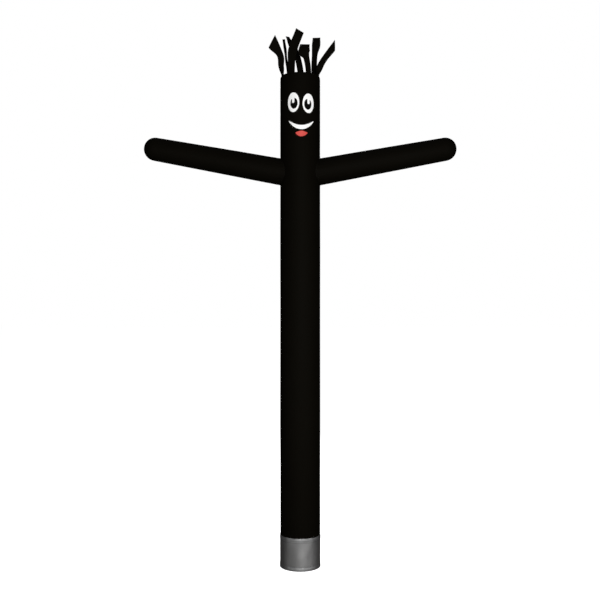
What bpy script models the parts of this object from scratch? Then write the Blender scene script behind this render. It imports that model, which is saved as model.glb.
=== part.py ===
"""Inflatable air dancer, standing blown up on its collar, as a Blender model.

Cloth shells in metres, +Z up, with the origin at the middle of the collar's rim on the floor.
The dancer faces -Y and its arms reach along X. Every piece that is cut and sewn on is one object:
the tube, the collar, the crown panel, the hair fringe, two arm sleeves and the six patches of the face.
"""

from math import acos, cos, floor, pi, radians, sin, sqrt, tan

import bmesh
import bpy
from mathutils import Matrix, Vector

# Cloth
CLOTH = 0.0015  # ripstop of the tube, arms, crown and hair
PATCH_CLOTH = 0.0010  # sewn-on face patches
COLLAR_CLOTH = 0.0022  # coated cloth of the collar, one layer
GAP = 0.0003  # between pieces that lie on each other
MERGE = 0.00001  # points nearer than this become one

# Tube
TUBE_RADIUS = 0.2286  # 18 inches across
TUBE_FACETS = 60
SHOULDER_Z = 5.545  # where the tube starts to draw in towards the crown's seam
TUBE_TOP = 5.578
SHOULDER_DRAW_IN = 0.0110
SHOULDER_STEPS = 4
HOLE_FROM, HOLE_TO = 0.5, 1.6  # the armhole cutter's ends along the arm, in tube radii

# Collar
COLLAR_HEIGHT = 0.366
HEM_HEIGHT = 0.045  # both hems, turned outwards
HEM_ROUND = 0.0015  # softened corner of a turned hem
HEM_STEP = 0.0013  # height of the slope at a turned hem's raw edge
TUCK = 0.040  # how far the tube's end reaches down inside the collar
TUCK_EASE = 0.060  # length over which the tube narrows to go into the collar

# Crown and hair
CROWN_RISE = 0.042
CROWN_STEPS = 6
SEAM_ALLOWANCE = 0.020  # turned down inside the tube
BAND_SHOWS = 0.008  # height of the fringe's uncut strip above the tube's edge
STREAMER_STEPS = 12
TURNED_BY = 0.55  # share of a streamer's length in which it turns from its root to its facing
BOW_KEPT = 0.4  # share of the ring's curve that a streamer still has at its tip
SLANT_FROM = 0.6  # share of a streamer's length where the slant of its end starts
TIP_PULL = 0.9  # how straight a streamer runs into its tip

# Arms
ARM_SLOPE = radians(10.25)
ARM_HEIGHT = 4.460  # where the arms' middle lines meet the tube's
ARM_ROOT_RADIUS = 0.1516  # at the tube's side
ARM_TIP_RADIUS = 0.1322
ARM_REACH = 1.654  # sideways, to the middle of the round tip
ARM_FACETS = 40
ARM_FROM = 0.6  # where the sleeve starts before it is trimmed, in tube radii
TIP_STEPS = 6

# Face, measured on the flat cloth: across from the middle line, and up from the floor
FACE_TURN = 0.0076  # the whole face sits this far to the dancer's left
OUTLINE_POINTS = 36
EYE_ACROSS, EYE_Z = 0.0866, 5.2404
EYE_HALF_WIDTH, EYE_HALF_HEIGHT = 0.0680, 0.1090
EYE_DROP = 0.0053  # the right eye is this far above the pair's level and the left this far below
PUPIL_INWARD, PUPIL_DOWN = 0.0073, 0.0110
PUPIL_HALF_WIDTH, PUPIL_HALF_HEIGHT = 0.0423, 0.0600
GLINT_OUTWARD, GLINT_HALF_WIDTH = 0.0078, 0.0150
GLINT_DEPTH = 0.058  # how far the glint is cut down into the pupil
GLINT_POINTS = 9
MOUTH_TURN = 0.0130  # the mouth sits this far to the dancer's left
SMILE_Z, SMILE_HALF_WIDTH = 5.0390, 0.1465  # height of the smile's corners
SMILE_SAG, SMILE_HALF_HEIGHT = 0.0730, 0.0235
LIP_Z, LIP_HALF_WIDTH = 4.9030, 0.0710
LIP_RISE, LIP_SAG = 0.0230, 0.0410

FACET_TURN = 2 * pi / TUBE_FACETS
CHORD = 2 * TUBE_RADIUS * sin(FACET_TURN / 2)  # width of a facet of the tube
COLLAR_INNER = TUBE_RADIUS - 0.0004
TUCK_RADIUS = COLLAR_INNER - GAP
TUBE_TOP_RADIUS = TUBE_RADIUS - SHOULDER_DRAW_IN
BAND_RADIUS = TUBE_TOP_RADIUS - CLOTH - GAP - CLOTH / 2  # middle of the fringe's cloth
CROWN_RADIUS = BAND_RADIUS - CLOTH / 2 - GAP

# One row for each streamer: where round the ring its root is sewn, in degrees from +X; how many facets
# of the ring the root takes; the places its middle passes through, as (x, height above the rim, width of
# the cloth); how far its tip leans back; how far its tip's face is turned from the front; the slant of
# its cut end.
STREAMERS = [
    dict(
        azimuth=195, facets=4, back=-0.045, facing=8, slant=28,
        through=((-0.221, 0.120, 0.064), (-0.228, 0.235, 0.074), (-0.318, 0.380, 0.134)),
    ),
    dict(
        azimuth=129, facets=2, back=0.020, facing=234, slant=0,
        through=((-0.155, 0.202, 0.042), (-0.178, 0.345, 0.044), (-0.188, 0.496, 0.044)),
    ),
    dict(
        azimuth=81, facets=3, back=-0.012, facing=214, slant=-38,
        through=((-0.010, 0.235, 0.070), (-0.066, 0.392, 0.066), (-0.158, 0.567, 0.046)),
    ),
    dict(
        azimuth=242, facets=4, back=0.020, facing=4, slant=-9,
        through=((-0.103, 0.122, 0.070), (-0.082, 0.269, 0.098), (-0.004, 0.484, 0.088)),
    ),
    dict(
        azimuth=298, facets=3, back=-0.010, facing=-6, slant=2,
        through=((0.079, 0.140, 0.058), (0.050, 0.232, 0.100), (0.053, 0.322, 0.104)),
    ),
    dict(
        azimuth=42, facets=3, back=0.013, facing=190, slant=0,
        through=((0.166, 0.275, 0.058), (0.185, 0.405, 0.089), (0.189, 0.506, 0.092)),
    ),
    dict(
        azimuth=345, facets=4, back=-0.015, facing=-10, slant=-51,
        through=((0.216, 0.072, 0.068), (0.282, 0.197, 0.076), (0.392, 0.342, 0.078)),
    ),
]

# Cloths: colour and roughness
BLACK = dict(colour=(0.004, 0.0035, 0.003), roughness=0.6)
SILVER_GREY = dict(colour=(0.22, 0.22, 0.22), roughness=0.4)
WHITE = dict(colour=(0.90, 0.90, 0.88), roughness=0.7)
RED = dict(colour=(0.72, 0.06, 0.04), roughness=0.7)


def add(name, mesh, cloth, dancer):
    """Puts a mesh in the model as one piece, with a material of its own in that cloth."""
    look = bpy.data.materials.new(name + "_cloth")
    look.use_nodes = True
    shader = look.node_tree.nodes["Principled BSDF"]
    shader.inputs["Base Color"].default_value = (*cloth["colour"], 1)
    shader.inputs["Roughness"].default_value = cloth["roughness"]
    shader.inputs["Metallic"].default_value = 0.0
    mesh.materials.append(look)
    piece = bpy.data.objects.new(name, mesh)
    piece.parent = dancer
    bpy.data.collections["air_dancer"].objects.link(piece)
    return piece


def helper(name, mesh):
    """A cutter, which is neither rendered nor built."""
    cutter = bpy.data.objects.new(name, mesh)
    cutter.hide_render = True
    cutter.display_type = "WIRE"
    bpy.data.collections["cutters"].objects.link(cutter)
    return cutter


def profile_mesh(name, points, closed):
    """A line of (radius, height) points at +X, for a Screw modifier to turn."""
    mesh = bpy.data.meshes.new(name)
    edges = [(i, i + 1) for i in range(len(points) - 1)]
    if closed:
        edges.append((len(points) - 1, 0))
    mesh.from_pydata([(r, 0, z) for r, z in points], edges, [])
    return mesh


def turn(piece, facets):
    """Turns a profile round Z into a closed shell."""
    screw = piece.modifiers.new("turned", "SCREW")
    screw.steps = screw.render_steps = facets
    screw.use_merge_vertices = True
    screw.merge_threshold = MERGE
    screw.use_smooth_shade = True


def cut(piece, cutter):
    """Takes the cutter's shape out of the piece."""
    boolean = piece.modifiers.new("cut by " + cutter.name, "BOOLEAN")
    boolean.operation = "DIFFERENCE"
    boolean.solver = "EXACT"
    boolean.object = cutter


def inset(points, thickness):
    """The inner side of a thin wall: each point moved in square to the profile, in reverse order."""
    inner = []
    for i, point in enumerate(points):
        before, after = points[max(i - 1, 0)], points[min(i + 1, len(points) - 1)]
        along = Vector((after[0] - before[0], after[1] - before[1])).normalized()
        inner.append((max(point[0] + along.y * thickness, 0.0), point[1] - along.x * thickness))
    return inner[::-1]


def arm_radius(along):
    """Outer radius of an arm's taper at that distance from the tube's middle line."""
    side, middle_of_tip = TUBE_RADIUS / cos(ARM_SLOPE), ARM_REACH / cos(ARM_SLOPE)
    share = (along - side) / (middle_of_tip - side)
    return ARM_ROOT_RADIUS + (ARM_TIP_RADIUS - ARM_ROOT_RADIUS) * share


def arm_matrix(side):
    """Turns +Z to point along the arm on that side, from the place where the arms meet."""
    lean = Matrix.Rotation(side * (pi / 2 - ARM_SLOPE), 4, "Y")
    return Matrix.Translation((0, 0, ARM_HEIGHT)) @ lean


def make_tube(dancer):
    """The body: a plain tube, drawn in at the crown's seam and eased into the collar, with two armholes."""
    outer = []
    for i in range(SHOULDER_STEPS + 1):
        turned = (pi / 2) * (1 - i / SHOULDER_STEPS)
        drawn = SHOULDER_DRAW_IN * (1 - cos(turned))
        outer.append((TUBE_RADIUS - drawn, SHOULDER_Z + (TUBE_TOP - SHOULDER_Z) * sin(turned)))
    end = COLLAR_HEIGHT - TUCK
    outer += [
        (TUBE_RADIUS, COLLAR_HEIGHT + TUCK_EASE),
        (TUCK_RADIUS, COLLAR_HEIGHT + GAP),
        (TUCK_RADIUS, end),
    ]
    inner = [(r - CLOTH, z) for r, z in reversed(outer)]
    tube = add("tube", profile_mesh("tube", outer + inner, True), BLACK, dancer)
    turn(tube, TUBE_FACETS)
    for side, name in ((1, "armhole_left"), (-1, "armhole_right")):
        near, far = TUBE_RADIUS * HOLE_FROM, TUBE_RADIUS * HOLE_TO
        mesh = bpy.data.meshes.new(name)
        hole = bmesh.new()
        bmesh.ops.create_cone(
            hole,
            cap_ends=True,
            segments=ARM_FACETS,
            radius1=arm_radius(near) - CLOTH,
            radius2=arm_radius(far) - CLOTH,
            depth=far - near,
            matrix=Matrix.Translation((0, 0, (near + far) / 2)),
        )
        hole.to_mesh(mesh)
        hole.free()
        cutter = helper(name, mesh)
        cutter.matrix_world = arm_matrix(side)
        cut(tube, cutter)


def make_collar(dancer):
    """The collar that slips over the blower's outlet: one sleeve, doubled where its two hems turn out."""
    wall, hem = COLLAR_INNER + COLLAR_CLOTH, COLLAR_INNER + 2 * COLLAR_CLOTH
    outer = [
        (hem - HEM_ROUND, COLLAR_HEIGHT),
        (hem, COLLAR_HEIGHT - HEM_ROUND),
        (hem, COLLAR_HEIGHT - HEM_HEIGHT),
        (wall, COLLAR_HEIGHT - HEM_HEIGHT - HEM_STEP),
        (wall, HEM_HEIGHT + HEM_STEP),
        (hem, HEM_HEIGHT),
        (hem, HEM_ROUND),
        (hem - HEM_ROUND, 0),
    ]
    inner = [(COLLAR_INNER, 0), (COLLAR_INNER, COLLAR_HEIGHT)]
    collar = add("collar", profile_mesh("collar", outer + inner, True), SILVER_GREY, dancer)
    turn(collar, TUBE_FACETS)


def make_crown(dancer):
    """The crown: a round panel that the air domes, its seam allowance turned down inside the tube."""
    sphere = (CROWN_RADIUS**2 + CROWN_RISE**2) / (2 * CROWN_RISE)
    opening = sqrt(1 - (CROWN_RADIUS / sphere) ** 2)
    outer = []
    for i in range(CROWN_STEPS + 1):
        radius = CROWN_RADIUS * sin(pi / 2 * i / CROWN_STEPS)
        outer.append((radius, sqrt(sphere**2 - radius**2) - sphere * opening))
    inner = inset(outer, CLOTH)
    inner[0] = (CROWN_RADIUS - CLOTH, inner[0][1])
    inner[-1] = (0.0, inner[-1][1])
    skirt = [(CROWN_RADIUS, -SEAM_ALLOWANCE), (CROWN_RADIUS - CLOTH, -SEAM_ALLOWANCE)]
    crown = add("crown", profile_mesh("crown", outer + skirt + inner, False), BLACK, dancer)
    crown.location.z = TUBE_TOP
    turn(crown, TUBE_FACETS)


def make_arm(name, side, dancer):
    """One arm: a tapered sleeve with a round tip, trimmed to the saddle where it is sewn to the tube."""
    middle_of_tip = ARM_REACH / cos(ARM_SLOPE)
    outer = []
    for i in range(TIP_STEPS + 1):
        turned = pi / 2 * (1 - i / TIP_STEPS)
        outer.append((ARM_TIP_RADIUS * cos(turned), middle_of_tip + ARM_TIP_RADIUS * sin(turned)))
    near = TUBE_RADIUS * ARM_FROM
    outer.append((arm_radius(near), near))
    outer[0] = (0.0, outer[0][1])
    inner = inset(outer, CLOTH)
    inner[-1] = (0.0, outer[0][1] - CLOTH)
    inner[0] = (outer[-1][0] - CLOTH, near)
    arm = add(name, profile_mesh(name, outer + inner, False), BLACK, dancer)
    arm.matrix_world = arm_matrix(side)
    turn(arm, ARM_FACETS)
    cut(arm, bpy.data.objects["tube_side"])


def make_tube_side():
    """The cutter that trims the arms: the tube's outside, a gap larger."""
    mesh = bpy.data.meshes.new("tube_side")
    side = bmesh.new()
    bmesh.ops.create_cone(
        side,
        cap_ends=True,
        segments=TUBE_FACETS,
        radius1=TUBE_RADIUS + GAP,
        radius2=TUBE_RADIUS + GAP,
        depth=4 * ARM_ROOT_RADIUS,
    )
    side.to_mesh(mesh)
    side.free()
    helper("tube_side", mesh).location.z = ARM_HEIGHT


def ease(share):
    """0 to 1 with a soft start and end."""
    share = min(max(share, 0.0), 1.0)
    return share * share * (3 - 2 * share)


def through(points, share):
    """The place that far along a smooth line through the points, and the line's direction there."""
    spans = len(points) - 1
    span = min(int(share * spans), spans - 1)
    t = share * spans - span
    before, start, end, after = (points[min(max(span + k, 0), spans)] for k in (-1, 0, 1, 2))
    leave = (end - before) / 2 if span else (end - start).length * Vector((0, 0, 1))
    arrive = (after - start) / 2 if span < spans - 1 else (end - start) * TIP_PULL
    bend, close = (end - start) * 3 - leave * 2 - arrive, leave + arrive - (end - start) * 2
    place = start + leave * t + bend * t * t + close * t**3
    return place, (leave + bend * 2 * t + close * 3 * t * t).normalized()


def streamer_rows(row, root):
    """Lines of points across a streamer, from its root up; root is the ring's line of points."""
    facets = len(root) - 1
    start = (root[0] + root[-1]) / 2
    outward = Vector((start.x, start.y, 0)).normalized()
    bulge = BAND_RADIUS * (1 - cos(facets * FACET_TURN / 2))
    top = row["through"][-1][1]
    middles = [start]
    for x, z, _ in row["through"]:
        middles.append(Vector((x, start.y + row["back"] * (z / top) ** 2, z)))
    widths = [(root[-1] - root[0]).length] + [width for _, _, width in row["through"]]
    root_azimuth = row["azimuth"] + 90
    turn_by = (row["facing"] - root_azimuth + 90) % 180 - 90
    rows = []
    for i in range(1, STREAMER_STEPS + 1):
        share = i / STREAMER_STEPS
        middle, along = through(middles, share)
        azimuth = radians(root_azimuth + turn_by * ease(share / TURNED_BY))
        across = Vector((cos(azimuth), sin(azimuth), 0))
        across = (across - along * across.dot(along)).normalized()
        span = min(int(share * len(row["through"])), len(row["through"]) - 1)
        width = widths[span] + (widths[span + 1] - widths[span]) * ease(share * len(row["through"]) - span)
        bow = outward * bulge * (1 - (1 - BOW_KEPT) * share)
        slanted = ease((share - SLANT_FROM) / (1 - SLANT_FROM)) * (1 if across.x > 0 else -1)
        slant = tan(radians(row["slant"])) * slanted
        line = []
        for k in range(facets + 1):
            place = k / facets - 0.5
            end_cut = along * (place * width * slant)
            line.append(middle + across * (place * width) + bow * (1 - 4 * place * place) + end_cut)
        rows.append(line)
    return rows


def make_hair(dancer):
    """The hair: a fringe whose uncut strip is sewn in round the crown, cut up into loose streamers."""
    cloth = bmesh.new()
    ring = []
    for k in range(TUBE_FACETS):
        x, y = BAND_RADIUS * cos(k * FACET_TURN), BAND_RADIUS * sin(k * FACET_TURN)
        ring.append((cloth.verts.new((x, y, -SEAM_ALLOWANCE)), cloth.verts.new((x, y, BAND_SHOWS))))
    for (low_a, high_a), (low_b, high_b) in zip(ring, ring[1:] + ring[:1]):
        cloth.faces.new((low_a, low_b, high_b, high_a))
    for row in STREAMERS:
        facets = row["facets"]
        first = round(radians(row["azimuth"]) / FACET_TURN - facets / 2)
        below = [ring[(first + k) % TUBE_FACETS][1] for k in range(facets + 1)]
        for points in streamer_rows(row, [v.co.copy() for v in below]):
            above = [cloth.verts.new(point) for point in points]
            for k in range(facets):
                cloth.faces.new((below[k], below[k + 1], above[k + 1], above[k]))
            below = above
    mesh = bpy.data.meshes.new("hair")
    cloth.to_mesh(mesh)
    cloth.free()
    mesh.shade_smooth()
    hair = add("hair", mesh, BLACK, dancer)
    hair.location.z = TUBE_TOP
    solid = hair.modifiers.new("cloth", "SOLIDIFY")
    solid.thickness = CLOTH
    solid.offset = 0
    solid.use_even_offset = True


def ellipse(half_width, half_height, start=0.0, sweep=2 * pi, points=OUTLINE_POINTS):
    """Points of an ellipse's arc; a full one leaves out the end that repeats the start."""
    full = abs(sweep) > 1.999 * pi
    steps = points if full else points - 1
    angles = [start + sweep * i / steps for i in range(points)]
    return [(half_width * cos(a), half_height * sin(a)) for a in angles]


def lens(half_width, rise, sag):
    """A pointed lens: an arc that rises and an arc that sags between the same corners."""
    half = OUTLINE_POINTS // 2
    across = [half_width * (2 * i / half - 1) for i in range(half + 1)]
    lower = [(x, -sag * (1 - (x / half_width) ** 2)) for x in across]
    upper = [(x, rise * (1 - (x / half_width) ** 2)) for x in across]
    return lower + upper[-2:0:-1]


def crescent(half_width, sag, half_height):
    """A sagging band with round ends, thickest in its middle."""
    flat = ellipse(half_width, half_height, points=OUTLINE_POINTS + 8)
    return [(x, z - sag * (1 - (x / half_width) ** 2)) for x, z in flat]


def pupil_outline(side):
    """An oval pupil with a round-ended glint cut down into it from the top."""
    middle = side * GLINT_OUTWARD
    end_centre = PUPIL_HALF_HEIGHT - GLINT_DEPTH + GLINT_HALF_WIDTH
    left_corner = acos((middle - GLINT_HALF_WIDTH) / PUPIL_HALF_WIDTH)
    right_corner = acos((middle + GLINT_HALF_WIDTH) / PUPIL_HALF_WIDTH) + 2 * pi
    sweep = right_corner - left_corner
    outline = ellipse(PUPIL_HALF_WIDTH, PUPIL_HALF_HEIGHT, left_corner, sweep, 2 * OUTLINE_POINTS)
    round_end = ellipse(GLINT_HALF_WIDTH, GLINT_HALF_WIDTH, 0.0, -pi, GLINT_POINTS)
    return outline + [(middle + x, end_centre + z) for x, z in round_end]


def on_tube(across, out):
    """(x, y) of a point that far round the tube's facets from the front, and that far out from them."""
    facet = floor(across / CHORD + MERGE)
    share = across / CHORD - facet
    radius = TUBE_RADIUS + out
    a, b = facet * FACET_TURN, (facet + 1) * FACET_TURN
    start, end = Vector((sin(a), -cos(a))), Vector((sin(b), -cos(b)))
    return (start * (1 - share) + end * share) * radius


def make_patch(name, outline, across, height, layer, colour, dancer):
    """A patch cut flat to an outline and wrapped round the tube, on the layers of cloth under it."""
    curve = bpy.data.curves.new(name, "CURVE")
    curve.dimensions = "2D"
    curve.fill_mode = "BOTH"
    curve.extrude = PATCH_CLOTH / 2
    spline = curve.splines.new("POLY")
    spline.points.add(len(outline) - 1)
    for point, (x, z) in zip(spline.points, outline):
        point.co = (x, z, 0, 1)
    spline.use_cyclic_u = True
    flat = bpy.data.objects.new(name + "_flat", curve)
    bpy.data.collections["cutters"].objects.link(flat)
    graph = bpy.context.evaluated_depsgraph_get()
    mesh = bpy.data.meshes.new_from_object(flat.evaluated_get(graph))
    bpy.data.objects.remove(flat)
    cloth = bmesh.new()
    cloth.from_mesh(mesh)
    bmesh.ops.remove_doubles(cloth, verts=cloth.verts, dist=MERGE)
    bmesh.ops.recalc_face_normals(cloth, faces=cloth.faces)
    reach = [across + x for x, _ in outline]
    for facet in range(floor(min(reach) / CHORD) + 1, floor(max(reach) / CHORD) + 1):
        everything = cloth.verts[:] + cloth.edges[:] + cloth.faces[:]
        fold = (facet * CHORD - across, 0, 0)
        bmesh.ops.bisect_plane(cloth, geom=everything, dist=MERGE, plane_co=fold, plane_no=(1, 0, 0))
    under = GAP + layer * (PATCH_CLOTH + GAP)
    for vert in cloth.verts:
        out = under + PATCH_CLOTH / 2 + vert.co.z
        x, y = on_tube(across + vert.co.x, out)
        vert.co = (x, y, vert.co.y)
    cloth.to_mesh(mesh)
    cloth.free()
    mesh.name = name
    add(name, mesh, colour, dancer).location.z = height


def make_face(dancer):
    """The face: eyes, pupils, a smile and a lip, plain patches sewn on the front of the tube."""
    for side, name in ((-1, "right"), (1, "left")):
        across, height = FACE_TURN + side * EYE_ACROSS, EYE_Z - side * EYE_DROP
        white = ellipse(EYE_HALF_WIDTH, EYE_HALF_HEIGHT)
        make_patch(f"eye_{name}", white, across, height, 0, WHITE, dancer)
        across, height = across - side * PUPIL_INWARD, height - PUPIL_DOWN
        make_patch(f"pupil_{name}", pupil_outline(side), across, height, 1, BLACK, dancer)
    smile = crescent(SMILE_HALF_WIDTH, SMILE_SAG, SMILE_HALF_HEIGHT)
    make_patch("smile", smile, MOUTH_TURN, SMILE_Z, 0, WHITE, dancer)
    lip = lens(LIP_HALF_WIDTH, LIP_RISE, LIP_SAG)
    make_patch("lip", lip, MOUTH_TURN, LIP_Z, 0, RED, dancer)


def main():
    """Clears the scene and builds the dancer's pieces under one empty."""
    for thing in list(bpy.data.objects):
        bpy.data.objects.remove(thing)
    for name in ("air_dancer", "cutters"):
        bpy.context.scene.collection.children.link(bpy.data.collections.new(name))
    dancer = bpy.data.objects.new("dancer", None)
    bpy.data.collections["air_dancer"].objects.link(dancer)
    make_tube(dancer)
    make_tube_side()
    make_collar(dancer)
    make_crown(dancer)
    make_hair(dancer)
    make_arm("arm_left", 1, dancer)
    make_arm("arm_right", -1, dancer)
    make_face(dancer)


main()
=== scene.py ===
"""The cloth, sewing, face and studio of an inflatable air dancer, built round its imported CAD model.

Everything is in metres in the CAD's own frame: +Z up, the dancer faces -Y and its left arm reaches along +X.
"""

import logging
from contextlib import contextmanager
from dataclasses import dataclass, field
from enum import Enum
from math import acos, atan2, cos, exp, hypot, pi, radians, sin, sqrt, tan
from typing import Callable, Iterator, Sequence

import bmesh
import bpy
from mathutils import Matrix, Vector, noise


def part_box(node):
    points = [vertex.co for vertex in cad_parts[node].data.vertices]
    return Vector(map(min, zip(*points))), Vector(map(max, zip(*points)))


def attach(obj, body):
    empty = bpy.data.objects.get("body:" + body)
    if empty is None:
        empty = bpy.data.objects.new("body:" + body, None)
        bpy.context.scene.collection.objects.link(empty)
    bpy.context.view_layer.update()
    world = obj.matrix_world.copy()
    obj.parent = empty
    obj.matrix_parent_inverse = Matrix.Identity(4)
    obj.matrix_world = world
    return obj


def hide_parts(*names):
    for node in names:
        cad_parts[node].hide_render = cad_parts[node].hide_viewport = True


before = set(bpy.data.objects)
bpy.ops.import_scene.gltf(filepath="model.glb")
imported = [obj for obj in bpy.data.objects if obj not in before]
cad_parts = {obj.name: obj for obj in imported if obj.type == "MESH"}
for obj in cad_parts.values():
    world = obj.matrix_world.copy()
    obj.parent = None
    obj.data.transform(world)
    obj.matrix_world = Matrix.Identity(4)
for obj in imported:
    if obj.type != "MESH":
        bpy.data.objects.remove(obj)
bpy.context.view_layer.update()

LOG = logging.getLogger("air_dancer")

MM = 0.001
FULL_TURN = 2 * pi
FRONT, BACK = -pi / 2, pi / 2  # angles round the tube, from +X
GAP = 0.3 * MM  # between pieces that lie on each other
MERGE = 0.01 * MM  # points closer than this become one
UV_NAME = "cloth"  # flat cloth coordinates, in metres

NYLON = 1.5 * MM  # thickness of the black cloth
TUBE_RADIUS = 0.2286
BAND_RADIUS = 0.21505  # of the fringe's band, which holds the crown's turned-down edge
ALLOWANCE = 20 * MM  # of the crown and of the fringe, sewn in below the tube's top
SOFT_EDGE = 55.0  # degrees; only a sharper edge of a rounded piece is shaded as an edge

Piece = bpy.types.Object
Material = bpy.types.Material
Socket = bpy.types.NodeSocket
Place = tuple[float, float]
Triple = tuple[float, float, float]
Colour = tuple[float, float, float]
Spot = tuple[Vector, Vector]  # a place on the cloth and which way the cloth faces


class Side(Enum):
    """The dancer's own left and right, as the sign of X."""

    LEFT = 1
    RIGHT = -1

    @property
    def word(self) -> str:
        """The side's name as the CAD nodes spell it."""
        return self.name.lower()


class Held(Enum):
    STRETCHED = "stretched"
    LAID = "laid"


class Slot(Enum):
    """Material slots, one for each kind of cloth."""

    RIPSTOP = "black_ripstop"
    COATED = "grey_coated_cloth"
    WHITE = "white_patch"
    BLACK = "black_patch"
    RED = "red_patch"


# ---- Numbers along a line, and the slack of the cloth ----


def ease(share: float) -> float:
    """The share with a soft start and end, held from 0 to 1."""
    share = min(max(share, 0.0), 1.0)
    return share * share * (3 - 2 * share)


def fade(distance: float, reach: float) -> float:
    """1 at no distance and about a third of it at each further reach."""
    return exp(-max(distance, 0.0) / reach)


def spread(start: float, end: float, steps: int) -> list[float]:
    """Even values from start to end, with both, so one more than there are steps."""
    return [start + (end - start) * i / steps for i in range(steps + 1)]


def turn_from(turn: float, middle: float) -> float:
    """The angle from a middle one to another, at most half a turn either way."""
    return atan2(sin(turn - middle), cos(turn - middle))


def lumps(x: float, y: float, z: float) -> float:
    """Smooth uneven noise from about -1 to 1, one lump to a unit."""
    return noise.noise(Vector((x, y, z)))


def round_lumps(turn: float, size: float, along: float) -> float:
    """Noise that closes on itself round a tube: a larger size gives more lumps in a turn."""
    return lumps(size * cos(turn), size * sin(turn), along)


def billow(turn: float, size: float, along: float, uneven: float = 1.0) -> float:
    """How slack blown-up cloth is at a place on a tube, from 0 where it is taut to 1."""
    return ease(0.5 + uneven * round_lumps(turn, size, along))


def puckers(turn: float, count: int, seed: float) -> float:
    """Uneven gathers round a seam.

    Args:
        turn: angle round the seam.
        count: about how many gathers there are in a full turn.
        seed: which seam it is, so that no two are alike.

    Returns:
        0 on a crest and 1 in the deepest troughs.
    """
    drift = 0.9 * round_lumps(turn, 2.1, seed)
    depth = 0.55 + 0.45 * round_lumps(turn, 3.3, seed + 7)
    wave = 0.5 - 0.5 * cos(count * turn + 3 * drift)
    return wave**2 * max(depth, 0.1)


@dataclass(frozen=True)
class Gathers:
    """What a seam gathers in the cloth beside it."""

    depth: float
    count: int  # in a full turn
    reach: float  # over which they fall to about a third
    start: float  # distance from the seam at which they are full
    hold: float = 0.0  # how far they stay full

    def at(self, turn: float, off: float, seed: float) -> float:
        """The depth of the gathers at an angle round the seam and a distance off it."""
        full = self.depth * puckers(turn, self.count, seed)
        return full * fade(off - self.hold, self.reach) * ease(off / self.start)


@dataclass(frozen=True)
class FelledSeam:
    """A long seam with its edges folded in: it stands a little proud and tugs at the cloth beside it."""

    half: float  # half its width
    rise: float
    slope: float  # width of the step down from it
    tug: float  # depth of the creases beside it
    reach: float  # of the creases
    wave: float  # length of a crease's wave, for each radian of it
    uneven: float  # how often the creases change in depth, to a metre
    drift: float = 0.0  # how far the wave wanders, in radians
    row: float = 2.0 * MM  # from the seam's edge to its row of stitches

    def fell(self, depth: float, off: float, along: float, seed: float, share: float = 1.0) -> float:
        """Works the seam into the slack of the cloth.

        Args:
            depth: the slack without it.
            off: distance from the seam's middle line.
            along: place along the seam.
            seed: which seam it is.
            share: how much of the seam there is, less than 1 near its ends.

        Returns:
            The depth with it; less than nothing on the seam.
        """
        beside = off - self.half
        phase = along / self.wave + self.drift * lumps(along * 3, 0, 0)
        crease = (0.5 + 0.5 * sin(phase)) * (0.6 + 0.5 * lumps(along * self.uneven, seed, 0))
        depth += self.tug * max(crease, 0.0) * fade(beside, self.reach) * ease(beside / (8 * MM))
        seam = (1 - ease(beside / self.slope)) * share
        return depth * (1 - 0.6 * seam) - self.rise * seam


# ---- Mesh tools ----


def only(piece: Piece) -> None:
    """Makes that piece the only one selected, and active.

    Args:
        piece: the piece to work on.
    """
    bpy.ops.object.select_all(action="DESELECT")
    piece.select_set(True)
    bpy.context.view_layer.objects.active = piece


def link(piece: Piece) -> None:
    """Puts a new object into the scene."""
    bpy.context.scene.collection.objects.link(piece)


@contextmanager
def editing(piece: Piece) -> Iterator[None]:
    """Edit mode with all of a piece selected, and object mode again after it.

    Args:
        piece: the piece to edit.

    Yields:
        Once, in edit mode.
    """
    only(piece)
    bpy.ops.object.mode_set(mode="EDIT")
    bpy.ops.mesh.select_all(action="SELECT")
    yield
    bpy.ops.object.mode_set(mode="OBJECT")


def ring_point(radius: float, turn: float, height: float = 0.0) -> Vector:
    """The point at a distance from the Z axis, at an angle round it from +X, and at a height."""
    return Vector((radius * cos(turn), radius * sin(turn), height))


def polar(point: Vector) -> Place:
    """A point's angle round the Z axis, from +X, and its distance from the axis."""
    return atan2(point.y, point.x), hypot(point.x, point.y)


def new_shell(name: str, rings: Sequence[Place], columns: int, close_end: bool = False) -> Piece:
    """Extrudes a circle from ring to ring along Z, which leaves the vertices in order, ring by ring.

    Args:
        name: the new piece's name.
        rings: (radius, height) of each ring, the lowest first.
        columns: vertices in a ring.
        close_end: whether the last ring closes in one point.

    Returns:
        The shell, with its faces outwards.
    """
    bpy.ops.object.select_all(action="DESELECT")
    radius, height = rings[0]
    bpy.ops.mesh.primitive_circle_add(vertices=columns, radius=radius, location=(0, 0, height))
    shell = bpy.context.object
    bpy.ops.object.transform_apply(location=True, rotation=False, scale=False)
    with editing(shell):
        for next_radius, next_height in rings[1:]:
            rise = (0, 0, next_height - height)
            bpy.ops.mesh.extrude_region_move(TRANSFORM_OT_translate={"value": rise})
            grow = next_radius / radius
            bpy.ops.transform.resize(value=(grow, grow, 1), center_override=(0, 0, next_height))
            radius, height = next_radius, next_height
        if close_end:
            bpy.ops.mesh.merge(type="CENTER")
        bpy.ops.mesh.select_all(action="SELECT")
        bpy.ops.mesh.normals_make_consistent(inside=False)
    shell.name = shell.data.name = name
    return shell


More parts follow.
